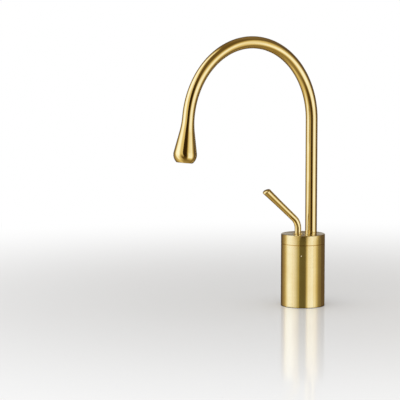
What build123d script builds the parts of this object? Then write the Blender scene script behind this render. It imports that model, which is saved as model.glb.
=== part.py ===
from build123d import *
import math
import os

os.makedirs("parts", exist_ok=True)

# Frame: +Z up, origin at the centre of the base where it stands on the deck.
# The spout points along -Y when it faces the basin, and +X is the user's right. Sizes in millimetres.

# How far cutters run past what they cut
past = 1.0

# Body and top cap
body_radius = 26.0
body_height = 74.3
cap_height = 11.4
cap_wall = 2.55
cap_plate = 5.0
cap_bevel = 0.5
seam_chamfer = 0.35
base_edge_round = 0.4
spigot_gap = 0.05
spigot_height = 6.0
cap_ring_groove_depth = 1.3
cap_ring_groove_height = 2.0
cap_ring_groove_above_seam = 1.8

# Where the two vertical axes stand
riser_y = 12.5
lever_y = -8.0

# Riser, arch and nozzle axis
tube_radius = 7.0
tube_wall = 1.0
riser_top = 220.7
arch_radius = 91.9
arch_angle = 173.64
nozzle_length = 52.4
tube_past_arch = 0.5
cap_hole_gap = 0.1

# Drop-shaped nozzle, lengths measured along the nozzle axis from the end of the arch
flare_start = tube_past_arch
flare_radius = 91.0
cone_angle = 10.9
bulb_radius = 13.3
bulb_from_arch = 43.0
bulb_lower_radius = 12.3
outlet_edge_round = 1.5
nozzle_bore = 5.0
nozzle_spigot_length = 3.0
nozzle_spigot_gap = 0.08

# Aerator
aerator_thread_radius = 8.25
aerator_length = 9.6
aerator_recess = 0.3
aerator_wall = 1.0
aerator_gap = 0.05
aerator_seal_thickness = 1.4
aerator_seal_bore = 6.4
grille_thickness = 2.6
grille_recess = 0.8
grille_cell = 1.7
grille_web = 0.35
insert_lip = 0.7

# Spout nipple, which turns in the body, and what seals and holds it
nipple_gap = 0.05
nipple_radius = tube_radius - tube_wall
nipple_bore = 3.8
nipple_depth = 33.8
nipple_in_tube = 12.0
braze_gap = 0.05
socket_depth = 37.8
socket_lead = 0.5
seal_depths = [28.8, 23.3]
seal_groove_height = 2.2
seal_groove_depth = 1.25
seal_side_gap = 0.1
seal_squeeze_gap = 0.03
grub_depth = 13.8
grub_radius = 2.0
grub_length = 7.0
grub_point_radius = 1.4
grub_point_length = 1.6
grub_hex = 2.0
grub_hex_depth = 2.2
grub_gap = 0.03
grub_groove_height = 3.6
grub_groove_depth = 1.05
grub_end_gap = 0.25
slip_ring_thickness = 1.0
slip_ring_gap = 0.15
bearing_gap = 0.02

# Lever
stem_radius = 3.9
lever_bend_radius = 16.0
lever_vertex_above_cap = 14.3
lever_rise = 39.0
lever_reach = 64.2
lever_tip_radius = 4.65
lever_tip_slant = 19.7
lever_tip_dome_radius = 10.0
lever_tip_round = 1.3
lever_thread_depth = 5.4
lever_thread_gap = 0.05

# Ball joint that hides the lever's opening
pivot_below_top = 6.0
dome_radius = 7.2
dome_wall = 0.8
dome_seat_gap = 0.3
dome_floor = 4.2
dome_top = 5.4
dome_edge = 0.8
lever_opening = 6.25
lever_opening_bevel = 0.3
tilt_angle = 18.0
turn_angle = 45.0

# Cartridge, built up from the disc stack below the pivot
lower_arm = 12.6
spindle_radius = 2.2
spindle_lower_radius = 1.8
spindle_neck_radius = 1.4
spindle_ball_radius = 2.2
ball_gap = 0.08
spindle_slot_gap = 0.1
spindle_tilt_gap = 0.3
spindle_step = 3.3
spindle_chamfer = 0.4
pin_radius = 1.0
pin_half_length = 5.3
pin_fit = 0.01
pin_running_gap = 0.04
carrier_radius = 6.4
carrier_floor = 1.05
ball_below_carrier_top = 2.2
carrier_flat = 5.4
carrier_flat_height = 2.9
carrier_peg_radius = 0.85
carrier_peg_length = 1.1
carrier_peg_spacing = 4.2
carrier_peg_gap = 0.05
moving_disc_radius = 6.6
moving_disc_thickness = 3.2
fixed_disc_thickness = 3.4
disc_film = 0.02
mixing_pocket_radius = 2.9
mixing_pocket_offset = 1.0
mixing_pocket_depth = 1.6
inlet_hole_radius = 1.1
inlet_hole_circle = 3.5
inlet_hole_angle = 40.0
outlet_hole_radius = 1.7
outlet_hole_offset = 2.6
cavity_radius = 9.0
cavity_gap = 0.1
base_flange_thickness = 3.0
base_plug_height = 2.0
base_way_radius = 2.2
base_seal_outer = 3.5
base_seal_inner = 2.6
base_seal_depth = 1.2
base_seal_gap = 0.05
base_outlet_width = 4.0
base_outlet_height = 1.7
base_outlet_roof = 0.3
base_pocket_depth = 0.5
housing_radius = 11.0
housing_lower_radius = 10.3
housing_lower_height = 7.0
housing_shoulder = 2.2
neck_radius = 8.4
neck_below_pivot = 2.2
rotor_radius = 6.5
rotor_gap = 0.08
rotor_flange_radius = 8.8
rotor_flange_thickness = 1.8
rotor_flange_gap = 0.1
rotor_carrier_gap = 0.38
rotor_head_radius = 5.6
rotor_head_above_pivot = 2.2
rotor_rail_depth = 2.7
stop_lug_radius = 8.0
stop_lug_height = 1.8
stop_lug_half_angle = 8.6
stop_gap_angle = 1.0
stop_floor_gap = 0.3
chamber_gap = 0.1
housing_seal_groove_depth = 1.05
housing_seal_groove_height = 1.8
housing_seal_below_shoulder = 7.5
nut_above_neck = 2.3
nut_thread_radius = 12.0
nut_thread_gap = 0.05
nut_bore_gap = 0.2
nut_slot_width = 3.0
nut_slot_depth = 2.0
nut_slots = 4
nut_slot_turn = 45.0

# Waterways
port_radius = 4.45
port_depth = 14.0
port_x = 6.5
port_y = -3.0
inlet_way_radius = 2.5
inlet_way_x = 5.0
inlet_way_forward = 1.2
inlet_way_bottom = 20.0
mixed_way_radius = 2.4
mixed_way_lean = 32.0
mixed_way_y = 3.6
mixed_way_up = 8.0
mixed_way_down = 11.6

# Shank and clamp below the deck
shank_radius = 16.5
shank_bore = 13.5
shank_length = 50.0
shank_in_body = 9.8
shank_recess_depth = 10.0
shank_gap = 0.05
shank_chamfer = 1.0
collar_radius = 17.0
collar_length = 6.0
collar_in_body = 1.5
collar_recess_gap = 1.0
deck_thickness = 20.0
washer_bore_gap = 0.4
washer_radius = 24.0
rubber_washer_thickness = 3.0
steel_washer_thickness = 2.0
back_nut_flats = 41.0
back_nut_height = 8.0
back_nut_chamfer = 1.0
gasket_inner = 20.6
gasket_outer = 23.4
gasket_height = 1.6
gasket_gap = 0.05

# Temperature marks on the body
mark_radius = 0.6
mark_depth = 1.1
mark_proud = 0.08
mark_gap = 0.03
mark_height = 62.0
mark_angle = 45.0

# Levels that follow from the sizes above
total_height = body_height + cap_height
cap_ceiling = total_height - cap_plate
spigot_radius = body_radius - cap_wall - spigot_gap
spigot_top = body_height + spigot_height
pivot_height = total_height - pivot_below_top
ball_height = pivot_height - lower_arm
disc_travel = lower_arm * math.sin(math.radians(tilt_angle))
disc_y = lever_y - disc_travel / 2
carrier_top = ball_height + ball_below_carrier_top
carrier_bottom = ball_height - spindle_ball_radius - ball_gap - carrier_floor
moving_disc_bottom = carrier_bottom - moving_disc_thickness
fixed_disc_bottom = moving_disc_bottom - disc_film - fixed_disc_thickness
housing_bottom = fixed_disc_bottom - base_plug_height
chamber_floor = housing_bottom - base_flange_thickness
flange_bottom = carrier_top + rotor_carrier_gap
flange_top = flange_bottom + rotor_flange_thickness
shoulder_bottom = flange_top + rotor_flange_gap
shoulder_top = shoulder_bottom + housing_shoulder
neck_top = pivot_height - neck_below_pivot
chamber_radius = housing_radius + chamber_gap
tube_bottom = spigot_top + slip_ring_thickness + bearing_gap
socket_radius = nipple_radius + nipple_gap
washer_top = -deck_thickness
nipple_bottom = spigot_top - nipple_depth
socket_bottom = spigot_top - socket_depth
seal_heights = [spigot_top - depth for depth in seal_depths]
grub_height = spigot_top - grub_depth
lever_vertex_height = total_height + lever_vertex_above_cap


def post(radius, low, high, x=0.0, y=0.0):
    standing = (Align.CENTER, Align.CENTER, Align.MIN)
    return Pos(x, y, low) * Cylinder(radius, high - low, align=standing)


def ring(inner, outer, low, high, x=0.0, y=0.0):
    return post(outer, low, high, x, y) - post(inner, low - past, high + past, x, y)


def turned(outline, y=0.0):
    # Spins a closed outline of (radius, height) points about a vertical axis
    profile = make_face(Polyline([(radius, 0, height) for radius, height in outline], close=True))
    return Pos(0, y, 0) * revolve(profile, Axis.Z)


def sector(inner, outer, half_angle, low, high, y=0.0):
    # A piece of a ring that is centred on the -Y direction
    section = make_face(
        Polyline([(inner, 0, low), (outer, 0, low), (outer, 0, high), (inner, 0, high)], close=True)
    )
    return Pos(0, y, 0) * Rot(0, 0, -90 - half_angle) * revolve(section, Axis.Z, 2 * half_angle)


def nozzle_frame():
    # Origin at the end of the arch, local +Z along the flow
    turn = math.radians(arch_angle)
    end_y = riser_y - arch_radius + arch_radius * math.cos(turn)
    end_z = riser_top + arch_radius * math.sin(turn)
    flow = (0, -math.sin(turn), math.cos(turn))
    return Plane(origin=(0, end_y, end_z), x_dir=(1, 0, 0), z_dir=flow).location


def main_body():
    body = turned(
        [
            (0, 0),
            (body_radius, 0),
            (body_radius, body_height - seam_chamfer),
            (body_radius - seam_chamfer, body_height),
            (spigot_radius, body_height),
            (spigot_radius, spigot_top - seam_chamfer),
            (spigot_radius - seam_chamfer, spigot_top),
            (0, spigot_top),
        ]
    )
    body = fillet(body.edges().group_by(Axis.Z)[0], base_edge_round)
    # Groove for the seal between body and cap
    groove_low = body_height + cap_ring_groove_above_seam
    body -= ring(
        spigot_radius - cap_ring_groove_depth,
        spigot_radius + past,
        groove_low,
        groove_low + cap_ring_groove_height,
    )
    # Chamber for the cartridge, with the wider thread of its nut above
    body -= post(chamber_radius, chamber_floor, spigot_top + past, y=lever_y)
    body -= post(nut_thread_radius, shoulder_top, spigot_top + past, y=lever_y)
    # Socket in which the spout turns
    body -= post(socket_radius, socket_bottom, spigot_top + past, y=riser_y)
    body -= turned(
        [
            (0, spigot_top + past),
            (socket_radius + socket_lead + past, spigot_top + past),
            (socket_radius, spigot_top - socket_lead),
            (0, spigot_top - socket_lead),
        ],
        y=riser_y,
    )
    # Hot and cold ports from below, each with its way up to the cartridge
    for side in (-1, 1):
        body -= post(
            port_radius, shank_recess_depth - past, shank_recess_depth + port_depth, side * port_x, port_y
        )
        body -= post(
            inlet_way_radius,
            inlet_way_bottom,
            chamber_floor + past,
            side * inlet_way_x,
            lever_y + inlet_way_forward,
        )
    # Mixed water leaves the chamber by a drilling that leans towards the spout's socket
    drill = Rot(mixed_way_lean, 0, 0) * Pos(0, 0, (mixed_way_up - mixed_way_down) / 2)
    drill = drill * Cylinder(mixed_way_radius, mixed_way_up + mixed_way_down)
    body -= Pos(0, mixed_way_y, chamber_floor) * drill
    # Underside: the shank's thread, the seat of its collar and the gasket's groove
    body -= post(shank_radius + shank_gap, -past, shank_recess_depth)
    body -= post(collar_radius + collar_recess_gap, -past, collar_in_body)
    body -= ring(gasket_inner - gasket_gap, gasket_outer + gasket_gap, -past, gasket_height)
    # Threaded hole at the back for the screw that keeps the spout in
    grub_hole = Rot(-90, 0, 0) * post(grub_radius + grub_gap, riser_y, body_radius + past)
    body -= Pos(0, 0, grub_height) * grub_hole
    for side in (-1, 1):
        body -= mark_place(side) * post(mark_radius + mark_gap, -mark_depth, mark_depth)
    return body


def mark_place(side):
    # A frame on the body's surface whose +Z points outwards
    direction = math.radians(-90 + side * mark_angle)
    outward = (math.cos(direction), math.sin(direction), 0)
    spot = (body_radius * outward[0], body_radius * outward[1], mark_height)
    return Plane(origin=spot, x_dir=(0, 0, 1), z_dir=outward).location


def temperature_mark(side):
    mark = post(mark_radius, -mark_depth, mark_proud)
    rim = mark.edges().filter_by(GeomType.CIRCLE).sort_by(Axis.Z)[-1]
    return mark_place(side) * fillet(rim, mark_proud)


def top_cap():
    bore = spigot_radius + spigot_gap
    cap = turned(
        [
            (bore, body_height),
            (body_radius - seam_chamfer, body_height),
            (body_radius, body_height + seam_chamfer),
            (body_radius, total_height - cap_bevel),
            (body_radius - cap_bevel, total_height),
            (0, total_height),
            (0, cap_ceiling),
            (bore, cap_ceiling),
        ]
    )
    cap -= post(tube_radius + cap_hole_gap, cap_ceiling - past, total_height + past, y=riser_y)
    cap -= post(lever_opening, cap_ceiling - past, total_height + past, y=lever_y)
    cap -= Pos(0, lever_y, pivot_height) * Sphere(dome_radius + dome_seat_gap)
    bevel_top = lever_opening + lever_opening_bevel
    cap -= turned(
        [
            (0, total_height + past),
            (bevel_top + past, total_height + past),
            (lever_opening, total_height - lever_opening_bevel),
            (0, total_height - lever_opening_bevel),
        ],
        y=lever_y,
    )
    return cap


def cap_oring():
    low = body_height + cap_ring_groove_above_seam + seal_side_gap
    high = low + cap_ring_groove_height - 2 * seal_side_gap
    inner = spigot_radius - cap_ring_groove_depth
    return seal(inner, spigot_radius + spigot_gap, low, high)


def seal(inner, outer, low, high, x=0.0, y=0.0):
    # A rubber ring squeezed into its groove: flat sides and broken corners
    corner = (high - low) / 4
    inner += seal_squeeze_gap
    outer -= seal_squeeze_gap
    section = [
        (inner, low + corner),
        (inner + corner, low),
        (outer - corner, low),
        (outer, low + corner),
        (outer, high - corner),
        (outer - corner, high),
        (inner + corner, high),
        (inner, high - corner),
    ]
    return Pos(x, 0, 0) * turned(section, y)


def retaining_nut():
    low = shoulder_top
    high = neck_top + nut_above_neck
    nut = ring(neck_radius + nut_bore_gap, nut_thread_radius - nut_thread_gap, low, high, y=lever_y)
    # Slots for the pin spanner
    for index in range(nut_slots // 2):
        slot = Box(3 * nut_thread_radius, nut_slot_width, 2 * nut_slot_depth)
        nut -= Pos(0, lever_y, high) * Rot(0, 0, index * 360 / nut_slots + nut_slot_turn) * slot
    return nut


def cartridge_housing():
    groove_top = shoulder_top - housing_seal_below_shoulder
    groove_low = groove_top - housing_seal_groove_height
    groove_radius = housing_radius - housing_seal_groove_depth
    step = housing_bottom + housing_lower_height
    housing = turned(
        [
            (cavity_radius, housing_bottom),
            (housing_lower_radius, housing_bottom),
            (housing_lower_radius, step),
            (housing_radius, step),
            (housing_radius, groove_low),
            (groove_radius, groove_low),
            (groove_radius, groove_top),
            (housing_radius, groove_top),
            (housing_radius, shoulder_top),
            (neck_radius, shoulder_top),
            (neck_radius, neck_top),
            (rotor_radius + rotor_gap, neck_top),
            (rotor_radius + rotor_gap, shoulder_bottom),
            (cavity_radius, shoulder_bottom),
        ],
        y=lever_y,
    )
    # Notch in the neck's rim that stops the turning at hot and cold
    notch_low = neck_top - stop_lug_height - stop_floor_gap
    half = turn_angle + stop_lug_half_angle + stop_gap_angle
    return housing - sector(
        rotor_radius - past, neck_radius + past, half, notch_low, neck_top + past, y=lever_y
    )


def housing_oring():
    groove_top = shoulder_top - housing_seal_below_shoulder
    groove_low = groove_top - housing_seal_groove_height
    inner = housing_radius - housing_seal_groove_depth
    return seal(inner, chamber_radius, groove_low + seal_side_gap, groove_top - seal_side_gap, y=lever_y)


def inlet_spots():
    # Places of the two inlet holes of the discs, measured from the lever's axis
    angle = math.radians(inlet_hole_angle)
    return [
        (side * inlet_hole_circle * math.sin(angle), inlet_hole_circle * math.cos(angle)) for side in (-1, 1)
    ]


def cartridge_base():
    base = post(housing_lower_radius - cavity_gap, chamber_floor, housing_bottom, y=lever_y)
    base += post(cavity_radius - cavity_gap, housing_bottom, fixed_disc_bottom, y=lever_y)
    for side, (spot_x, spot_y) in zip((-1, 1), inlet_spots()):
        way_x = side * inlet_way_x
        way_y = lever_y + inlet_way_forward
        base -= post(base_way_radius, chamber_floor - past, housing_bottom, way_x, way_y)
        # Kidney-shaped pocket from the way to the disc's smaller hole
        middle = ((way_x + spot_x) / 2, lever_y + (inlet_way_forward + spot_y) / 2)
        span = math.hypot(way_x - spot_x, inlet_way_forward - spot_y)
        turn = math.degrees(math.atan2(spot_y - inlet_way_forward, spot_x - way_x))
        floor = housing_bottom - base_pocket_depth
        pocket = extrude(SlotCenterToCenter(span, 2 * inlet_hole_radius), fixed_disc_bottom + past - floor)
        base -= Pos(middle[0], middle[1], floor) * Rot(0, 0, turn) * pocket
        # Seat of the seal under the base
        base -= post(
            base_seal_outer + base_seal_gap,
            chamber_floor - past,
            chamber_floor + base_seal_depth,
            way_x,
            way_y,
        )
    # Mixed water drops through the middle and leaves by a window at the front
    outlet_y = lever_y - outlet_hole_offset
    window_top = housing_bottom - base_outlet_roof
    window_low = window_top - base_outlet_height
    base -= post(outlet_hole_radius, window_low, fixed_disc_bottom + past, y=outlet_y)
    window = Box(
        base_outlet_width, housing_radius, base_outlet_height, align=(Align.CENTER, Align.MAX, Align.MAX)
    )
    return base - Pos(0, outlet_y, window_top) * window


def cartridge_base_seals():
    rings = [
        ring(
            base_seal_inner,
            base_seal_outer,
            chamber_floor,
            chamber_floor + base_seal_depth,
            side * inlet_way_x,
            lever_y + inlet_way_forward,
        )
        for side in (-1, 1)
    ]
    return Compound(children=rings)


def fixed_ceramic_disc():
    top = fixed_disc_bottom + fixed_disc_thickness
    disc = post(cavity_radius - cavity_gap, fixed_disc_bottom, top, y=lever_y)
    for spot_x, spot_y in inlet_spots():
        disc -= post(inlet_hole_radius, fixed_disc_bottom - past, top + past, spot_x, lever_y + spot_y)
    outlet_y = lever_y - outlet_hole_offset
    return disc - post(outlet_hole_radius, fixed_disc_bottom - past, top + past, y=outlet_y)


def moving_ceramic_disc():
    top = carrier_bottom
    disc = post(moving_disc_radius, moving_disc_bottom, top, y=disc_y)
    # Pocket below that joins hot and cold to the outlet, and two dimples above for the carrier's pegs
    disc -= post(
        mixing_pocket_radius,
        moving_disc_bottom - past,
        moving_disc_bottom + mixing_pocket_depth,
        y=disc_y - mixing_pocket_offset,
    )
    for side in (-1, 1):
        disc -= post(
            carrier_peg_radius + carrier_peg_gap,
            top - carrier_peg_length - carrier_peg_gap,
            top + past,
            side * carrier_peg_spacing,
            disc_y,
        )
    return disc


def disc_carrier():
    carrier = post(carrier_radius, carrier_bottom, carrier_top, y=disc_y)
    for side in (-1, 1):
        flat = Box(carrier_radius, 3 * carrier_radius, carrier_flat_height * 2)
        carrier -= Pos(side * (carrier_flat + carrier_radius / 2), disc_y, carrier_top) * flat
        carrier += post(
            carrier_peg_radius,
            carrier_bottom - carrier_peg_length,
            carrier_bottom,
            side * carrier_peg_spacing,
            disc_y,
        )
    # Socket for the ball at the spindle's lower end
    socket = post(
        spindle_ball_radius + ball_gap, carrier_bottom + carrier_floor, carrier_top + past, y=lever_y
    )
    return carrier - socket


def cartridge_rotor():
    head_top = pivot_height + rotor_head_above_pivot
    rotor = turned(
        [
            (0, flange_bottom),
            (rotor_flange_radius, flange_bottom),
            (rotor_flange_radius, flange_top),
            (rotor_radius, flange_top),
            (rotor_radius, neck_top),
            (rotor_head_radius, neck_top),
            (rotor_head_radius, head_top),
            (0, head_top),
        ],
        y=lever_y,
    )
    # Rails that guide the disc carrier and turn it
    rail_low = flange_bottom - rotor_rail_depth
    rail_x = carrier_flat + spindle_slot_gap
    for side in (-1, 1):
        rail = post(rotor_flange_radius, rail_low, flange_bottom, y=lever_y)
        keep = Box(rotor_flange_radius, 3 * rotor_flange_radius, 4 * rotor_rail_depth)
        rotor += rail & Pos(side * (rail_x + rotor_flange_radius / 2), lever_y, rail_low) * keep
    lug_low = neck_top - stop_lug_height
    rotor += sector(rotor_radius - past, stop_lug_radius, stop_lug_half_angle, lug_low, neck_top, y=lever_y)
    # Slot that is waisted at the pivot, so that the spindle can tilt one way
    reach = math.tan(math.radians(tilt_angle))
    slant = 1 / math.cos(math.radians(tilt_angle))
    low = flange_bottom - pivot_height - rotor_rail_depth - past
    high = rotor_head_above_pivot + past
    bare = spindle_radius + spindle_tilt_gap
    wide = spindle_radius * slant + spindle_tilt_gap
    slim = spindle_lower_radius * slant + spindle_tilt_gap
    step = -spindle_step
    outline = Polygon(
        (-bare, low),
        (-bare, 0),
        (-wide - high * reach, high),
        (bare, high),
        (wide, 0),
        (wide - step * reach, step),
        (slim - low * reach, low),
        align=None,
    )
    slot = Plane.YZ * extrude(outline, spindle_radius + spindle_slot_gap, both=True)
    rotor -= Pos(0, lever_y, pivot_height) * slot
    hole = Rot(0, 90, 0) * Cylinder(pin_radius + pin_fit, 4 * rotor_radius)
    return rotor - Pos(0, lever_y, pivot_height) * hole


def pivot_pin():
    return Pos(0, lever_y, pivot_height) * Rot(0, 90, 0) * Cylinder(pin_radius, 2 * pin_half_length)


def cartridge_spindle():
    taper = ball_height + spindle_ball_radius + spindle_radius
    step = pivot_height - spindle_step
    top = pivot_height + dome_top + lever_thread_depth - 2 * lever_thread_gap
    stem = turned(
        [
            (0, ball_height),
            (spindle_neck_radius, ball_height),
            (spindle_neck_radius, taper - (spindle_lower_radius - spindle_neck_radius)),
            (spindle_lower_radius, taper),
            (spindle_lower_radius, step),
            (spindle_radius, step),
            (spindle_radius, top - spindle_chamfer),
            (spindle_radius - spindle_chamfer, top),
            (0, top),
        ],
        y=lever_y,
    )
    ball = Pos(0, lever_y, ball_height) * Sphere(spindle_ball_radius)
    hole = Rot(0, 90, 0) * Cylinder(pin_radius + pin_running_gap, 4 * spindle_radius)
    return stem + ball - Pos(0, lever_y, pivot_height) * hole


def lever_dome():
    inner = dome_radius - dome_wall
    shell = Sphere(dome_radius) - (Sphere(inner) & post(inner, dome_edge - past, dome_floor))
    shell = shell & post(dome_radius + past, dome_edge, dome_top)
    shell -= post(spindle_radius + lever_thread_gap, 0, dome_radius)
    return Pos(0, lever_y, pivot_height) * shell


def lever_rod():
    bend = 90 - lever_rise
    turn = math.radians(bend)
    tangent = lever_bend_radius * math.tan(turn / 2)
    bottom = pivot_height + dome_top
    bend_low = lever_vertex_height - tangent
    centre_y = lever_y - lever_bend_radius
    rod = post(stem_radius, bottom, bend_low, y=lever_y)
    section = Pos(0, lever_y, bend_low) * Circle(stem_radius)
    rod += revolve(section, Axis((0, centre_y, bend_low), (1, 0, 0)), bend)
    # The arm swells slowly towards its end, which is a slanted low dome with a rounded rim
    start = (
        0,
        centre_y + lever_bend_radius * math.cos(turn),
        bend_low + lever_bend_radius * math.sin(turn),
    )
    along = (0, -math.sin(turn), math.cos(turn))
    length = lever_reach - tangent
    longest = length + 2 * lever_tip_radius * math.tan(math.radians(lever_tip_slant))
    swell = lever_tip_radius - stem_radius
    side = ThreePointArc(
        (stem_radius, 0, 0), (stem_radius + swell / 4, 0, length / 2), (lever_tip_radius, 0, length)
    )
    rest = Polyline(
        (lever_tip_radius, 0, length),
        (lever_tip_radius, 0, longest),
        (0, 0, longest),
        (0, 0, 0),
        (stem_radius, 0, 0),
    )
    arm = revolve(make_face([side, rest]), Axis.Z)
    beyond = Box(lever_reach, lever_reach, lever_reach, align=(Align.CENTER, Align.CENTER, Align.MIN))
    beyond -= Rot(90, 0, 0) * Sphere(lever_tip_dome_radius)
    arm -= Pos(0, 0, length) * Rot(-lever_tip_slant, 0, 0) * Pos(0, 0, -lever_tip_dome_radius) * beyond
    arm = fillet(arm.faces().sort_by(Axis.Z)[-1].edges(), lever_tip_round)
    rod += Plane(origin=start, x_dir=(1, 0, 0), z_dir=along).location * arm
    thread_top = bottom + lever_thread_depth
    return rod - post(spindle_radius + lever_thread_gap, bottom - past, thread_top, y=lever_y)


def spout_tube():
    inner = tube_radius - tube_wall
    tube = ring(inner, tube_radius, tube_bottom, riser_top, y=riser_y)
    section = Pos(0, riser_y, riser_top) * (Circle(tube_radius) - Circle(inner))
    centre = (0, riser_y - arch_radius, riser_top)
    tube += revolve(section, Axis(centre, (1, 0, 0)), arch_angle)
    tube += nozzle_frame() * ring(inner, tube_radius, 0, tube_past_arch)
    return tube


def drop_nozzle():
    # The outline runs down the outside: flare, cone, bulb, outlet, then back up the inside
    slope = math.radians(cone_angle)
    flare_end = (
        tube_radius + flare_radius * (1 - math.cos(slope)),
        flare_start + flare_radius * math.sin(slope),
    )
    # Radius of the shoulder that joins the cone to the widest place without a corner
    rise = bulb_radius - flare_end[0] - (bulb_from_arch - flare_end[1]) * math.tan(slope)
    shoulder = rise / (1 - math.cos(slope) - math.sin(slope) * math.tan(slope))
    cone_end = (
        bulb_radius - shoulder * (1 - math.cos(slope)),
        bulb_from_arch - shoulder * math.sin(slope),
    )
    centre = bulb_radius - bulb_lower_radius
    drop = nozzle_length - bulb_from_arch
    outlet_radius = centre + math.sqrt(bulb_lower_radius**2 - drop**2)

    def on_arc(radius, middle_r, middle_s, angle):
        return (middle_r + radius * math.cos(angle), 0, middle_s + radius * math.sin(angle))

    def at(point):
        return (point[0], 0, point[1])

    flare = ThreePointArc(
        (tube_radius, 0, flare_start),
        on_arc(-flare_radius, tube_radius + flare_radius, flare_start, -slope / 2),
        at(flare_end),
    )
    cone = Line(at(flare_end), at(cone_end))
    upper = ThreePointArc(
        at(cone_end),
        on_arc(shoulder, bulb_radius - shoulder, bulb_from_arch, -slope / 2),
        (bulb_radius, 0, bulb_from_arch),
    )
    sweep = math.asin(drop / bulb_lower_radius)
    lower = ThreePointArc(
        (bulb_radius, 0, bulb_from_arch),
        on_arc(bulb_lower_radius, centre, bulb_from_arch, sweep / 2),
        (outlet_radius, 0, nozzle_length),
    )
    seal_top = nozzle_length - aerator_recess - aerator_length - aerator_seal_thickness
    inside = [
        (outlet_radius, 0, nozzle_length),
        (aerator_thread_radius, 0, nozzle_length),
        (aerator_thread_radius, 0, seal_top),
        (nozzle_bore, 0, seal_top - (aerator_thread_radius - nozzle_bore)),
        (nozzle_bore, 0, flare_start - nozzle_spigot_length),
        (tube_radius - tube_wall - nozzle_spigot_gap, 0, flare_start - nozzle_spigot_length),
        (tube_radius - tube_wall - nozzle_spigot_gap, 0, flare_start),
        (tube_radius, 0, flare_start),
    ]
    nozzle = revolve(make_face([flare, cone, upper, lower, Polyline(inside)]), Axis.Z)
    lip = nozzle.edges().group_by(Axis.Z)[-1].sort_by(SortBy.RADIUS)[-1]
    nozzle = fillet(lip, outlet_edge_round)
    return nozzle_frame() * nozzle


def aerator_housing():
    low = nozzle_length - aerator_recess - aerator_length
    high = nozzle_length - aerator_recess
    outer = aerator_thread_radius - aerator_gap
    shell = ring(outer - aerator_wall, outer, low, high)
    return nozzle_frame() * shell


def aerator_insert():
    # A plastic plug with a honeycomb at the outlet and a lip that hangs on the housing's edge
    outer = aerator_thread_radius - 2 * aerator_gap - aerator_wall
    low = nozzle_length - aerator_recess - aerator_length
    high = nozzle_length - aerator_recess - grille_recess
    insert = ring(outer - insert_lip, outer, low, high)
    grille = post(outer, high - grille_thickness, high)
    pitch = grille_cell + grille_web
    cell = grille_cell / math.sqrt(3)
    rows = int(outer / pitch) + 1
    for row in range(-rows, rows + 1):
        for column in range(-rows - 1, rows + 2):
            x = (column + (row % 2) / 2) * pitch
            y = row * pitch * math.sqrt(3) / 2
            if math.hypot(x, y) + cell < outer - insert_lip:
                hole = extrude(RegularPolygon(cell, 6, rotation=30), grille_thickness + 2 * past)
                grille -= Pos(x, y, high - grille_thickness - past) * hole
    return nozzle_frame() * (insert + grille)


def aerator_seal():
    high = nozzle_length - aerator_recess - aerator_length
    ring_shape = ring(
        aerator_seal_bore, aerator_thread_radius - aerator_gap, high - aerator_seal_thickness, high
    )
    return nozzle_frame() * ring_shape


def spout_nipple():
    in_tube = tube_radius - tube_wall - braze_gap
    shoulder = tube_bottom - bearing_gap
    outline = [(nipple_bore, nipple_bottom), (nipple_radius - seam_chamfer, nipple_bottom)]
    outline += [(nipple_radius, nipple_bottom + seam_chamfer)]
    grooves = [(height, seal_groove_height, seal_groove_depth) for height in seal_heights]
    grooves += [(grub_height, grub_groove_height, grub_groove_depth)]
    for middle, height, depth in grooves:
        outline += [
            (nipple_radius, middle - height / 2),
            (nipple_radius - depth, middle - height / 2),
            (nipple_radius - depth, middle + height / 2),
            (nipple_radius, middle + height / 2),
        ]
    outline += [
        (nipple_radius, shoulder),
        (in_tube, shoulder),
        (in_tube, tube_bottom + nipple_in_tube),
        (nipple_bore, tube_bottom + nipple_in_tube),
    ]
    return turned(outline, y=riser_y)


def spout_orings():
    rings = []
    for height in seal_heights:
        low = height - seal_groove_height / 2 + seal_side_gap
        high = height + seal_groove_height / 2 - seal_side_gap
        rings.append(seal(nipple_radius - seal_groove_depth, socket_radius, low, high, y=riser_y))
    return Compound(children=rings)


def spout_slip_ring():
    inner = nipple_radius + slip_ring_gap
    outer = tube_radius + cap_hole_gap - slip_ring_gap
    return ring(inner, outer, spigot_top, spigot_top + slip_ring_thickness, y=riser_y)


def spout_grub_screw():
    # Modelled upright with its point at the bottom, then laid along +Y
    screw = post(grub_point_radius, 0, grub_point_length)
    screw += post(grub_radius, grub_point_length, grub_length)
    recess = RegularPolygon(grub_hex / math.sqrt(3), 6)
    screw -= Pos(0, 0, grub_length - grub_hex_depth) * extrude(recess, grub_hex_depth + past)
    tip_y = riser_y + nipple_radius - grub_groove_depth + grub_end_gap
    return Pos(0, tip_y, grub_height) * Rot(-90, 0, 0) * screw


def deck_gasket():
    return ring(gasket_inner, gasket_outer, 0, gasket_height)


def threaded_shank():
    shank = turned(
        [
            (shank_bore, shank_in_body),
            (shank_bore, -shank_length),
            (shank_radius - shank_chamfer, -shank_length),
            (shank_radius, -shank_length + shank_chamfer),
            (shank_radius, -collar_length),
            (collar_radius, -collar_length),
            (collar_radius, collar_in_body),
            (shank_radius, collar_in_body),
            (shank_radius, shank_in_body),
        ]
    )
    return shank


def rubber_washer():
    low = washer_top - rubber_washer_thickness
    return ring(shank_radius + washer_bore_gap, washer_radius, low, washer_top)


def steel_washer():
    high = washer_top - rubber_washer_thickness
    return ring(shank_radius + washer_bore_gap, washer_radius, high - steel_washer_thickness, high)


def back_nut():
    high = washer_top - rubber_washer_thickness - steel_washer_thickness
    low = high - back_nut_height
    corner = back_nut_flats / math.sqrt(3)
    nut = Pos(0, 0, low) * extrude(RegularPolygon(corner, 6), back_nut_height)
    # Turned corners, as on any hexagon nut
    nut &= turned(
        [
            (0, low),
            (corner - back_nut_chamfer, low),
            (corner, low + back_nut_chamfer / 2),
            (corner, high - back_nut_chamfer / 2),
            (corner - back_nut_chamfer, high),
            (0, high),
        ]
    )
    return nut - post(shank_radius + shank_gap, low - past, high + past)


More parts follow.
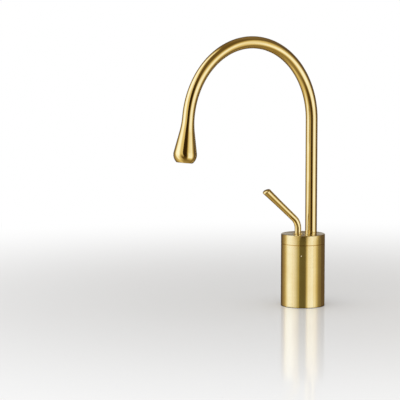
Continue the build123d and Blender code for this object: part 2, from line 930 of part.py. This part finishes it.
nodes = {
    "main_body": main_body(),
    "top_cap": top_cap(),
    "cap_oring": cap_oring(),
    "retaining_nut": retaining_nut(),
    "cartridge_housing": cartridge_housing(),
    "housing_oring": housing_oring(),
    "cartridge_base": cartridge_base(),
    "cartridge_base_seals": cartridge_base_seals(),
    "fixed_ceramic_disc": fixed_ceramic_disc(),
    "moving_ceramic_disc": moving_ceramic_disc(),
    "disc_carrier": disc_carrier(),
    "cartridge_rotor": cartridge_rotor(),
    "pivot_pin": pivot_pin(),
    "cartridge_spindle": cartridge_spindle(),
    "lever_dome": lever_dome(),
    "lever_rod": lever_rod(),
    "spout_tube": spout_tube(),
    "drop_nozzle": drop_nozzle(),
    "aerator_housing": aerator_housing(),
    "aerator_insert": aerator_insert(),
    "aerator_seal": aerator_seal(),
    "spout_nipple": spout_nipple(),
    "spout_orings": spout_orings(),
    "spout_slip_ring": spout_slip_ring(),
    "spout_grub_screw": spout_grub_screw(),
    "deck_gasket": deck_gasket(),
    "threaded_shank": threaded_shank(),
    "rubber_washer": rubber_washer(),
    "steel_washer": steel_washer(),
    "back_nut": back_nut(),
    "hot_mark": temperature_mark(-1),
    "cold_mark": temperature_mark(1),
}

for name, shape in nodes.items():
    export_step(shape, f"parts/{name}.step")
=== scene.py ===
import math
import bpy
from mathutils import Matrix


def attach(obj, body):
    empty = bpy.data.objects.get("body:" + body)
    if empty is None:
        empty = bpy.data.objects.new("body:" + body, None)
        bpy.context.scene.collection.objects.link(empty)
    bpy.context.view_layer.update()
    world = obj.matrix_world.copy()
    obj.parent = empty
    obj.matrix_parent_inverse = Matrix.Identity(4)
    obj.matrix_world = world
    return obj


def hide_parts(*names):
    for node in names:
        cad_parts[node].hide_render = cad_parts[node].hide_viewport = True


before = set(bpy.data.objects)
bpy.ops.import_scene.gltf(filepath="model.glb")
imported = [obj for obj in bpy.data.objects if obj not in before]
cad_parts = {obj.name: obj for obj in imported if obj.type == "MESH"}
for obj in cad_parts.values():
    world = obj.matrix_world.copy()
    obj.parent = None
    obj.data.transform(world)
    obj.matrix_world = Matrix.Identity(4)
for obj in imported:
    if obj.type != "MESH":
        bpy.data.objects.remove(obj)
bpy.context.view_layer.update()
print("frame loaded:", len(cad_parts), "nodes")

# The camera of a product picture, three quarters from the right
camera = {
    "place": (1.6426, -1.4254, 0.3545),
    "turn": 52.269,  # degrees round the vertical
    "lookDown": 6.017,  # degrees below level
    "lens": 166.05,
    "sensor": 36,
    "clip": (0.1, 30),
}


def addCamera():
    data = bpy.data.cameras.new("camera")
    data.lens = camera["lens"]
    data.sensor_width = camera["sensor"]
    data.clip_start, data.clip_end = camera["clip"]
    view = bpy.data.objects.new("camera", data)
    bpy.context.scene.collection.objects.link(view)
    view.location = camera["place"]
    view.rotation_euler = (math.radians(90 - camera["lookDown"]), 0, math.radians(camera["turn"]))
    bpy.context.scene.camera = view


addCamera()
print("camera placed")


# Node helpers
def addNode(tree, kind, settings=None, inputs=None):
    node = tree.nodes.new(kind)
    for name, value in (settings or {}).items():
        setattr(node, name, value)
    for name, value in (inputs or {}).items():
        if isinstance(value, bpy.types.NodeSocket):
            tree.links.new(value, node.inputs[name])
        else:
            node.inputs[name].default_value = value
    return node


def doMath(tree, operation, first, second=0.0, third=0.0):
    node = addNode(tree, "ShaderNodeMath", {"operation": operation}, {0: first, 1: second, 2: third})
    return node.outputs[0]


def smoothRange(tree, value, low, high, toLow=0.0, toHigh=1.0):
    node = addNode(
        tree,
        "ShaderNodeMapRange",
        {"interpolation_type": "SMOOTHSTEP"},
        {"Value": value, "From Min": low, "From Max": high, "To Min": toLow, "To Max": toHigh},
    )
    return node.outputs["Result"]


def mixColours(tree, amount, first, last):
    mix = addNode(tree, "ShaderNodeMix", {"data_type": "RGBA"}, {"Factor": amount, 6: first, 7: last})
    return mix.outputs[2]


def mixShaders(tree, amount, first, last):
    return addNode(tree, "ShaderNodeMixShader", inputs={0: amount, 1: first, 2: last}).outputs[0]


def glowOf(tree, colour):
    return addNode(tree, "ShaderNodeEmission", inputs={"Color": colour}).outputs[0]


def clearOf(tree):
    return addNode(tree, "ShaderNodeBsdfTransparent").outputs[0]


def objectPlace(tree):
    return addNode(tree, "ShaderNodeTexCoord").outputs["Object"]


def axesOf(tree, vector):
    return addNode(tree, "ShaderNodeSeparateXYZ", inputs={"Vector": vector}).outputs


def lengthOf(tree, vector):
    return addNode(tree, "ShaderNodeVectorMath", {"operation": "LENGTH"}, {0: vector}).outputs["Value"]


def startMaterial(name):
    finish = bpy.data.materials.new(name)
    finish.use_nodes = True
    finish.node_tree.nodes.clear()
    return finish, finish.node_tree


def showSurface(tree, surface):
    addNode(tree, "ShaderNodeOutputMaterial", inputs={"Surface": surface})


# Light panels round the tap. "across" is in degrees to the right of the camera, "up" in degrees
# above the horizon: each gives where a panel starts to show, is full, starts to fade and is gone.
# "lean" slants a panel's sides: degrees to the left for each degree up.
studio = {
    "panels": {
        "leftSoftbox": {
            "bright": 0.54,
            "across": (-119, -92, -68, -39),
            "up": (-74, -25, 76, 84),
            "lean": 0.64,
        },
        "leftReflector": {
            "bright": 0.73,
            "across": (-91, -46, -18, -14.7),
            "up": (-31, 18, 42, 90),
            "lean": 0.34,
        },
        "rightSoftbox": {
            "bright": 1.0,
            "across": (12.5, 38, 69.5, 105),
            "up": (-58, -21, 12, 51),
            "lean": 0.0,
        },
        "leftWall": {
            "bright": 0.61,
            "across": (-167, -72, -106, -33),
            "up": (-93, -66, 91, 92),
            "lean": 0.09,
        },
        "rightWall": {
            "bright": 0.053,
            "across": (81, 84, 165, 172),
            "up": (-72, -46, 88, 92),
            "lean": -0.54,
        },
        "ceiling": {"bright": 0.116, "across": None, "up": (19, 56, 91, 92)},
        "ground": {"bright": 0.50, "across": None, "up": (-92, -91, -129, 3)},
    },
    "shade": 0.030,  # of the gaps between the panels
    "brightest": 1.12,
    # neutral light from behind: "aside" is where it sets in, in degrees away from the camera
    "behind": {
        "sides": {"bright": 0.03, "aside": (84, 110), "up": (-60, -20, 50, 80)},
        "horizon": {"bright": 0.33, "aside": (150, 172), "up": (-1, 5, 9, 20)},
    },
    # dim parts of the room are warmer than bright ones: green and blue are a power of the
    # brightness, and only a share of that until the light clears up
    "warmth": {"green": (1.17, 0.83), "blue": (1.5, 0.42), "clearsUp": (0.72, 1.15)},
    "soft": (1, 1, 1, 1),  # the backdrop, and what floor and matt pieces are lit by
}


def windowOf(tree, value, stops):
    rise = smoothRange(tree, value, stops[0], stops[1])
    fall = smoothRange(tree, value, stops[2], stops[3], 1, 0)
    return doMath(tree, "MULTIPLY", rise, fall)


def panelsOf(tree, across, up):
    bright = studio["shade"]
    for panel in studio["panels"].values():
        shape = windowOf(tree, up, panel["up"])
        if panel["across"]:
            side = doMath(tree, "MULTIPLY_ADD", up, panel["lean"], across)
            shape = doMath(tree, "MULTIPLY", shape, windowOf(tree, side, panel["across"]))
        bright = doMath(tree, "MULTIPLY_ADD", shape, panel["bright"], bright)
    return doMath(tree, "MINIMUM", bright, studio["brightest"])


def warmed(tree, bright):
    channels = [bright]
    for channel in ("green", "blue"):
        power, share = studio["warmth"][channel]
        clear = smoothRange(tree, bright, *studio["warmth"]["clearsUp"], share, 1)
        channels.append(doMath(tree, "MULTIPLY", doMath(tree, "POWER", bright, power), clear))
    return addNode(tree, "ShaderNodeCombineColor", inputs=dict(enumerate(channels))).outputs[0]


def behindOf(tree, across, up):
    aside = doMath(tree, "ABSOLUTE", across)
    behind = 0.0
    for glow in studio["behind"].values():
        shape = smoothRange(tree, aside, *glow["aside"], 0, glow["bright"])
        behind = doMath(tree, "MULTIPLY_ADD", shape, windowOf(tree, up, glow["up"]), behind)
    return behind


def makeStudio():
    world = bpy.data.worlds.new("studio")
    bpy.context.scene.world = world
    world.use_nodes = True
    tree = world.node_tree
    tree.nodes.clear()
    direction = addNode(tree, "ShaderNodeTexCoord").outputs["Generated"]
    # turned so that +X points at the camera
    turned = addNode(
        tree,
        "ShaderNodeVectorRotate",
        {"rotation_type": "Z_AXIS"},
        {"Vector": direction, "Angle": math.radians(90 - camera["turn"])},
    )
    x, y, z = axesOf(tree, turned.outputs[0])
    across = doMath(tree, "DEGREES", doMath(tree, "ARCTAN2", y, x))
    up = doMath(tree, "DEGREES", doMath(tree, "ARCSINE", z))
    warm = warmed(tree, panelsOf(tree, across, up))
    behind = behindOf(tree, across, up)
    seen = addNode(tree, "ShaderNodeVectorMath", {"operation": "ADD"}, {0: warm, 1: behind})
    rays = addNode(tree, "ShaderNodeLightPath").outputs
    soft = doMath(tree, "MAXIMUM", rays["Is Diffuse Ray"], rays["Is Camera Ray"])
    colour = mixColours(tree, soft, seen.outputs[0], studio["soft"])
    background = addNode(tree, "ShaderNodeBackground", inputs={"Color": colour})
    addNode(tree, "ShaderNodeOutputWorld", inputs={"Surface": background.outputs[0]})


def addSheet(name, size, place, turn=(0, 0, 0)):
    bpy.ops.object.select_all(action="DESELECT")
    bpy.ops.mesh.primitive_plane_add(size=size, location=place, rotation=turn)
    sheet = bpy.context.object
    sheet.name = name
    return sheet


floorLook = {
    "size": 400.0,
    "colour": (0.76, 0.765, 0.77, 1),
    "roughness": 0.09,
    "specular": 0.5,
    "contact": (0.0275, 0.0295),  # painted contact shadow up to here, close round the body
    "paintedContactShadow": (0.035, 0.022, 0.008, 1),
    "fadesOut": (0.12, 0.9),  # further away the floor turns to plain white
    "white": (1, 1, 1, 1),
}


def makeFloor():
    floor = addSheet("floor", floorLook["size"], (0, 0, 0))
    finish, tree = startMaterial("floor")
    distance = lengthOf(tree, objectPlace(tree))
    look = {
        "Base Color": floorLook["colour"],
        "Roughness": floorLook["roughness"],
        "Specular IOR Level": floorLook["specular"],
    }
    surface = addNode(tree, "ShaderNodeBsdfPrincipled", inputs=look).outputs[0]
    away = smoothRange(tree, distance, *floorLook["fadesOut"])
    sweep = mixShaders(tree, away, surface, glowOf(tree, floorLook["white"]))
    # the tap's metal mirrors only a painted contact shadow round its foot, a dark glow, not the bright
    # floor
    near = smoothRange(tree, distance, *floorLook["contact"], 1, 0)
    mirrored = mixShaders(tree, near, clearOf(tree), glowOf(tree, floorLook["paintedContactShadow"]))
    rays = addNode(tree, "ShaderNodeLightPath").outputs
    showSurface(tree, mixShaders(tree, rays["Is Glossy Ray"], sweep, mirrored))
    floor.data.materials.append(finish)


# A clear sheet just above the floor: a ray that crosses it has met the floor, and sees no card
veil = {"size": 0.8, "height": 0.0001}


def makeVeil():
    sheet = addSheet("veil", veil["size"], (0, 0, veil["height"]))
    finish, tree = startMaterial("veil")
    showSurface(tree, clearOf(tree))
    sheet.data.materials.append(finish)


# Small cards close round the body, seen only in its reflection
cardSet = {
    "distance": 0.05,
    "bottom": -0.03,
    "top": 0.081,
    "reach": (0.0485, 0.0505),  # from further away a card isn't seen
    "sheets": 2,  # veil and floor, which a ray from the body crosses to reach a card's foot
    "firstBounce": 1,  # a ray that has bounced more often sees a card through any sheets
    "same": 0.5,  # whole numbers that differ by less than this are the same
}
# "aside" is where a card stands, in degrees to the right of the camera, "span" is its width in
# metres to the right of that line, and "fade" is where in its width the glow starts to change and
# has changed
cards = {
    "leftCard": {
        "aside": 0,
        "span": (-0.0570, -0.0380),
        "fade": (-0.0500, -0.0380),
        "glow": ((1.0, 0.93, 0.92, 1), (0.84, 0.76, 0.58, 1)),
    },
    "leftEdge": {
        "aside": 0,
        "span": (-0.0380, -0.0157),
        "fade": (-0.0380, -0.0175),
        "glow": ((0.84, 0.76, 0.58, 1), (0.44, 0.34, 0.12, 1)),
    },
    "flag": {
        "aside": 0,
        "span": (-0.0157, 0.0060),
        "fade": (-0.0157, 0.0060),
        "glow": ((0.138, 0.108, 0.036, 1), (0.140, 0.108, 0.036, 1)),
    },
    "flagEdge": {
        "aside": 0,
        "span": (0.0060, 0.0120),
        "fade": (0.0055, 0.0125),
        "glow": ((0.17, 0.13, 0.042, 1), (0.72, 0.57, 0.26, 1)),
    },
    "reflector": {
        "aside": 0,
        "span": (0.0120, 0.0275),
        "fade": (0.0116, 0.0180),
        "glow": ((0.74, 0.59, 0.28, 1), (1.0, 0.94, 0.82, 1)),
    },
    "sideCard": {
        "aside": 90,
        "span": (-0.0600, -0.0300),
        "fade": (-0.0410, -0.0300),
        "glow": ((0.95, 0.85, 0.63, 1), (0.62, 0.48, 0.21, 1)),
    },
    "sideEdge": {
        "aside": 90,
        "span": (-0.0300, -0.0060),
        "fade": (-0.0310, -0.0165),
        "glow": ((0.62, 0.48, 0.21, 1), (0.22, 0.162, 0.072, 1)),
    },
}


def standCard(name):
    look = cards[name]
    left, right = look["span"]
    bottom, top = cardSet["bottom"], cardSet["top"]
    turn = math.radians(camera["turn"] + look["aside"])
    outward = (math.sin(turn), -math.cos(turn))
    toRight = (math.cos(turn), math.sin(turn))
    middle = (left + right) / 2
    place = [cardSet["distance"] * outward[axis] + middle * toRight[axis] for axis in (0, 1)]
    card = addSheet(name, 1, (*place, (bottom + top) / 2), (math.radians(90), 0, turn))
    card.scale = (right - left, top - bottom, 1)
    card.visible_camera = False
    card.visible_diffuse = False
    card.visible_shadow = False
    return card


def cardGlow(tree, look):
    left, right = look["span"]
    middle = (left + right) / 2
    start, end = [(place - middle) / (right - left) for place in look["fade"]]
    amount = smoothRange(tree, axesOf(tree, objectPlace(tree))["X"], start, end)
    return glowOf(tree, mixColours(tree, amount, *look["glow"]))


def cardShown(tree):
    # only the side towards the body glows, seen from close by, and the floor doesn't mirror it
    same = cardSet["same"]
    geometry = addNode(tree, "ShaderNodeNewGeometry").outputs
    rays = addNode(tree, "ShaderNodeLightPath").outputs
    sunk = doMath(tree, "LESS_THAN", axesOf(tree, geometry["Position"])["Z"], 0.0)
    expected = doMath(tree, "MULTIPLY", sunk, cardSet["sheets"])
    unveiled = doMath(tree, "COMPARE", rays["Transparent Depth"], expected, same)
    bounced = doMath(tree, "GREATER_THAN", rays["Ray Depth"], cardSet["firstBounce"] + same)
    near = smoothRange(tree, rays["Ray Length"], *cardSet["reach"], 1, 0)
    facing = doMath(tree, "MULTIPLY", near, geometry["Backfacing"])
    return doMath(tree, "MULTIPLY", facing, doMath(tree, "MAXIMUM", unveiled, bounced))


def addCard(name):
    card = standCard(name)
    finish, tree = startMaterial(name)
    showSurface(tree, mixShaders(tree, cardShown(tree), clearOf(tree), cardGlow(tree, cards[name])))
    card.data.materials.append(finish)


lamp = {
    "place": (0.3, -0.5, 1.6),
    "tilt": (17, 10, 0),  # degrees
    "size": 1.4,
    "power": 9,
}


def addLamp():
    data = bpy.data.lights.new("softbox", "AREA")
    data.shape = "DISK"
    data.size = lamp["size"]
    data.energy = lamp["power"]
    softbox = bpy.data.objects.new("softbox", data)
    bpy.context.scene.collection.objects.link(softbox)
    softbox.location = lamp["place"]
    softbox.rotation_euler = [math.radians(angle) for angle in lamp["tilt"]]
    softbox.visible_glossy = False


makeStudio()
makeFloor()
makeVeil()
for name in cards:
    addCard(name)
addLamp()
bpy.context.scene.view_settings.view_transform = "Standard"
print("studio ready")


# Finishes. "haze" and "clouds" are noises, in cells to the metre and levels of detail, "relief" is
# the strength of a bump and its depth in metres, and "spread" the share by which roughness varies
tintStops = (0.3, 0.7)  # the part of a noise's range in which a tint goes from dark to light
roughStops = (0.25, 0.75)  # and the part in which the roughness goes from least to most


def startFinish(name, look, metallic):
    finish, tree = startMaterial(name)
    inputs = {"Base Color": look["light"], "Metallic": metallic}
    shader = addNode(tree, "ShaderNodeBsdfPrincipled", inputs=inputs)
    showSurface(tree, shader.outputs[0])
    return finish, tree, shader


def stretched(tree, x, y, z):
    return addNode(tree, "ShaderNodeCombineXYZ", inputs={0: x, 1: y, 2: z}).outputs[0]


def noiseOf(tree, vector, scale, detail):
    inputs = {"Vector": vector, "Scale": scale, "Detail": detail}
    return addNode(tree, "ShaderNodeTexNoise", inputs=inputs).outputs["Fac"]


def tintOf(tree, look, amount, stops=tintStops):
    return mixColours(tree, smoothRange(tree, amount, *stops), look["dark"], look["light"])


def roughenOf(tree, look, amount):
    least = look["roughness"] * (1 - look["spread"])
    most = look["roughness"] * (1 + look["spread"])
    return smoothRange(tree, amount, *roughStops, least, most)


def bumpOf(tree, look, height):
    strength, depth = look["relief"]
    inputs = {"Height": height, "Strength": strength, "Distance": depth}
    return addNode(tree, "ShaderNodeBump", inputs=inputs).outputs[0]


def dress(tree, shader, sources):
    for name, source in sources.items():
        tree.links.new(source, shader.inputs[name])


def turnedLines(tree, length, width, detail):
    # fine lines that run round the Z axis on a side and in rings on a flat top
    x, y, z = axesOf(tree, objectPlace(tree))
    out = lengthOf(tree, stretched(tree, x, y, 0.0))
    along = doMath(tree, "MULTIPLY", doMath(tree, "ADD", z, out), length / width)
    return noiseOf(tree, stretched(tree, x, y, along), 1 / length, detail)


brushedGold = {
    "dark": (0.89, 0.77, 0.46, 1),
    "light": (0.94, 0.85, 0.56, 1),
    "roughness": 0.22,
    "spread": 0.12,
    "anisotropy": 0.9,
    "highlightTurn": 0.25,  # in whole turns: the highlight is drawn out along the body
    "lines": (0.03, 0.00022, 4.0),  # length, width and detail
    "clouds": (60.0, 2.0),
    "tintStops": (0.12, 0.4),
    "relief": (0.05, 0.00003),
    "paintedSeamShadeWidth": (0.0002, 0.0007),  # painted shade, to either side of the joint between body and cap
    # the colour of the painted shade along the joint
    "paintedSeamShade": (0.74, 0.57, 0.28, 1),
}


def makeBrushedGold():
    look = brushedGold
    finish, tree, shader = startFinish("brushedGold", look, 1.0)
    brush = turnedLines(tree, *look["lines"])
    place = objectPlace(tree)
    cloud = noiseOf(tree, place, *look["clouds"])
    metal = tintOf(tree, look, doMath(tree, "MULTIPLY", brush, cloud), look["tintStops"])
    # a thin line of painted shade darkens the metal along the joint between body and cap
    seam = min(corner[2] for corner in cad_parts["top_cap"].bound_box)
    offset = doMath(tree, "SUBTRACT", axesOf(tree, place)["Z"], seam)
    clear = smoothRange(tree, doMath(tree, "ABSOLUTE", offset), *look["paintedSeamShadeWidth"])
    tangent = addNode(tree, "ShaderNodeTangent", {"direction_type": "RADIAL", "axis": "Z"})
    shader.inputs["Anisotropic"].default_value = look["anisotropy"]
    shader.inputs["Anisotropic Rotation"].default_value = look["highlightTurn"]
    dress(tree, shader, {
        "Base Color": mixColours(tree, clear, look["paintedSeamShade"], metal),
        "Roughness": roughenOf(tree, look, brush),
        "Normal": bumpOf(tree, look, brush),
        "Tangent": tangent.outputs[0],
    })
    return finish


# The bent tube, the nozzle and the lever are polished along their length, with a faint haze
satinGold = {
    "dark": (0.90, 0.77, 0.44, 1),
    "light": (0.93, 0.82, 0.51, 1),
    "roughness": 0.07,
    "spread": 0.1,
    "haze": (350.0, 4.0),
    "clouds": (45.0, 2.0),
}


def makeSatinGold():
    look = satinGold
    finish, tree, shader = startFinish("satinGold", look, 1.0)
    place = objectPlace(tree)
    dress(tree, shader, {
        "Base Color": tintOf(tree, look, noiseOf(tree, place, *look["clouds"])),
        "Roughness": roughenOf(tree, look, noiseOf(tree, place, *look["haze"])),
    })
    return finish


# Straight from the lathe: fine rings, and a cloudy tarnish
turnedBrass = {
    "dark": (0.58, 0.42, 0.18, 1),
    "light": (0.74, 0.58, 0.30, 1),
    "roughness": 0.3,
    "spread": 0.2,
    "lines": (0.02, 0.0003, 4.0),
    "clouds": (120.0, 3.0),
    "relief": (0.15, 0.00004),
}


def makeTurnedBrass():
    look = turnedBrass
    finish, tree, shader = startFinish("brass", look, 1.0)
    rings = turnedLines(tree, *look["lines"])
    dress(tree, shader, {
        "Base Color": tintOf(tree, look, noiseOf(tree, objectPlace(tree), *look["clouds"])),
        "Roughness": roughenOf(tree, look, rings),
        "Normal": bumpOf(tree, look, rings),
    })
    return finish


# Drawn steel and the moulded, pressed and fired pieces are speckled all over: "grain" is the size
# of a speck in metres
moulded = {"metallic": 0.0, "spread": 0.12, "grainDetail": 2.0, "clouds": (110.0, 3.0)}
speckled = {
    "steel": {
        "metallic": 1.0,
        "dark": (0.52, 0.52, 0.54, 1),
        "light": (0.68, 0.68, 0.69, 1),
        "roughness": 0.28,
        "spread": 0.2,
        "grain": 0.0004,
        "grainDetail": 4.0,
        "clouds": (180.0, 3.0),
        "relief": (0.1, 0.00003),
    },
    "rubber": {
        **moulded,
        "dark": (0.018, 0.018, 0.019, 1),
        "light": (0.040, 0.040, 0.041, 1),
        "roughness": 0.62,
        "grain": 0.0004,
        "relief": (0.35, 0.00005),
    },
    "ceramic": {
        **moulded,
        "dark": (0.82, 0.79, 0.72, 1),
        "light": (0.93, 0.91, 0.86, 1),
        "roughness": 0.18,
        "grain": 0.0002,
        "relief": (0.03, 0.00005),
    },
    "whitePlastic": {
        **moulded,
        "dark": (0.79, 0.79, 0.76, 1),
        "light": (0.88, 0.88, 0.86, 1),
        "roughness": 0.42,
        "grain": 0.0003,
        "relief": (0.15, 0.00005),
    },
    "greyPlastic": {
        **moulded,
        "dark": (0.42, 0.43, 0.45, 1),
        "light": (0.54, 0.55, 0.57, 1),
        "roughness": 0.42,
        "grain": 0.0003,
        "relief": (0.15, 0.00005),
    },
    "enamel": {
        **moulded,
        "dark": (0.80, 0.66, 0.38, 1),
        "light": (0.90, 0.78, 0.50, 1),
        "roughness": 0.25,
        "grain": 0.0002,
        "relief": (0.05, 0.00005),
    },
}


def makeSpeckled(name):
    look = speckled[name]
    finish, tree, shader = startFinish(name, look, look["metallic"])
    place = objectPlace(tree)
    specks = noiseOf(tree, place, 1 / look["grain"], look["grainDetail"])
    dress(tree, shader, {
        "Base Color": tintOf(tree, look, noiseOf(tree, place, *look["clouds"])),
        "Roughness": roughenOf(tree, look, specks),
        "Normal": bumpOf(tree, look, specks),
    })
    return finish


finishes = {"bodyGold": makeBrushedGold(), "spoutGold": makeSatinGold(), "brass": makeTurnedBrass()}
for name in speckled:
    finishes[name] = makeSpeckled(name)
wearers = {
    "bodyGold": ["main_body", "top_cap"],
    "spoutGold": ["lever_rod", "lever_dome", "spout_tube", "drop_nozzle", "aerator_housing"],
    "brass": ["retaining_nut", "spout_nipple", "threaded_shank", "back_nut"],
    "steel": ["cartridge_spindle", "pivot_pin", "spout_grub_screw", "steel_washer"],
    "rubber": ["cap_oring", "housing_oring", "cartridge_base_seals", "spout_orings", "aerator_seal",
               "deck_gasket", "rubber_washer"],
    "ceramic": ["fixed_ceramic_disc", "moving_ceramic_disc"],
    "whitePlastic": ["cartridge_housing", "cartridge_base", "spout_slip_ring"],
    "greyPlastic": ["cartridge_rotor", "disc_carrier", "aerator_insert"],
    "enamel": ["hot_mark", "cold_mark"],
}
for finish, nodes in wearers.items():
    for node in nodes:
        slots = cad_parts[node].data.materials
        slots.clear()
        slots.append(finishes[finish])
print("finishes on")

# The shank with its thread cut: the CAD's plain cylinder is turned down to the thread's root,
# and one long ridge winds round it
thread = {
    "pitch": 0.002309,
    "turns": 18,
    "bottom": -0.0488,
    "crest": 0.01648,
    "root": 0.0153,
    "foot": 0.0152,  # the ridge's foot sinks into the cylinder
    "plain": (0.0154, 0.01668),  # between these radii lie the plain cylinder's points
    "below": -0.0055,  # and below this height
    "width": 0.97,  # of the ridge's foot, as a share of the pitch
    "steps": 48,  # to a turn
    "weld": 1e-6,
    "smooth": 30,  # degrees
}


def startEdit(thing):
    bpy.ops.object.select_all(action="DESELECT")
    thing.select_set(True)
    bpy.context.view_layer.objects.active = thing
    bpy.ops.object.mode_set(mode="EDIT")


def turnDownShank():
    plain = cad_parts["threaded_shank"]
    shank = bpy.data.objects.new("threadedShank", plain.data.copy())
    bpy.context.scene.collection.objects.link(shank)
    startEdit(shank)
    bpy.ops.mesh.select_all(action="SELECT")
    bpy.ops.mesh.remove_doubles(threshold=thread["weld"])
    bpy.ops.mesh.select_all(action="DESELECT")
    bpy.ops.mesh.select_mode(type="VERT")
    bpy.ops.object.mode_set(mode="OBJECT")
    inner, outer = thread["plain"]
    widest = 0.0
    for point in shank.data.vertices:
        out = math.hypot(point.co.x, point.co.y)
        point.select = point.co.z < thread["below"] and inner < out < outer
        if point.select:
            widest = max(widest, out)
    bpy.ops.object.mode_set(mode="EDIT")
    thinner = thread["root"] / widest
    bpy.ops.transform.resize(value=(thinner, thinner, 1), center_override=(0, 0, 0))
    bpy.ops.object.mode_set(mode="OBJECT")
    return shank


def windRidge():
    # a triangle in the XZ plane, its point outwards, wound up round Z: on a circle of radius 1 its
    # height is 1.5 and its foot is as wide as the square root of 3
    height = thread["crest"] - thread["foot"]
    bpy.ops.object.select_all(action="DESELECT")
    bpy.ops.mesh.primitive_circle_add(
        vertices=3,
        radius=1,
        fill_type="NOTHING",
        location=(thread["foot"] + height / 3, 0, thread["bottom"]),
        rotation=(math.radians(90), math.radians(90), 0),
    )
    ridge = bpy.context.object
    ridge.name = "ridge"
    ridge.data.materials.append(finishes["brass"])
    bpy.ops.object.transform_apply(location=False, rotation=True, scale=False)
    ridge.scale = (height / 1.5, 1, thread["pitch"] / math.sqrt(3) * thread["width"])
    bpy.ops.object.transform_apply(location=True, rotation=True, scale=True)
    screw = ridge.modifiers.new("screw", "SCREW")
    screw.axis = "Z"
    screw.screw_offset = thread["pitch"]
    screw.iterations = thread["turns"]
    screw.steps = screw.render_steps = thread["steps"]
    screw.use_normal_calculate = True
    bpy.ops.object.modifier_apply(modifier="screw")
    startEdit(ridge)
    bpy.ops.mesh.select_mode(type="EDGE")
    bpy.ops.mesh.select_all(action="DESELECT")
    bpy.ops.mesh.select_non_manifold()
    bpy.ops.mesh.fill()
    bpy.ops.mesh.select_all(action="SELECT")
    bpy.ops.mesh.normals_make_consistent(inside=False)
    bpy.ops.object.mode_set(mode="OBJECT")
    return ridge


shank = turnDownShank()
ridge = windRidge()
bpy.ops.object.select_all(action="DESELECT")
ridge.select_set(True)
shank.select_set(True)
bpy.context.view_layer.objects.active = shank
bpy.ops.object.join()
bpy.ops.object.shade_smooth_by_angle(angle=math.radians(thread["smooth"]))
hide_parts("threaded_shank")
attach(shank, "root")
print("shank threaded")
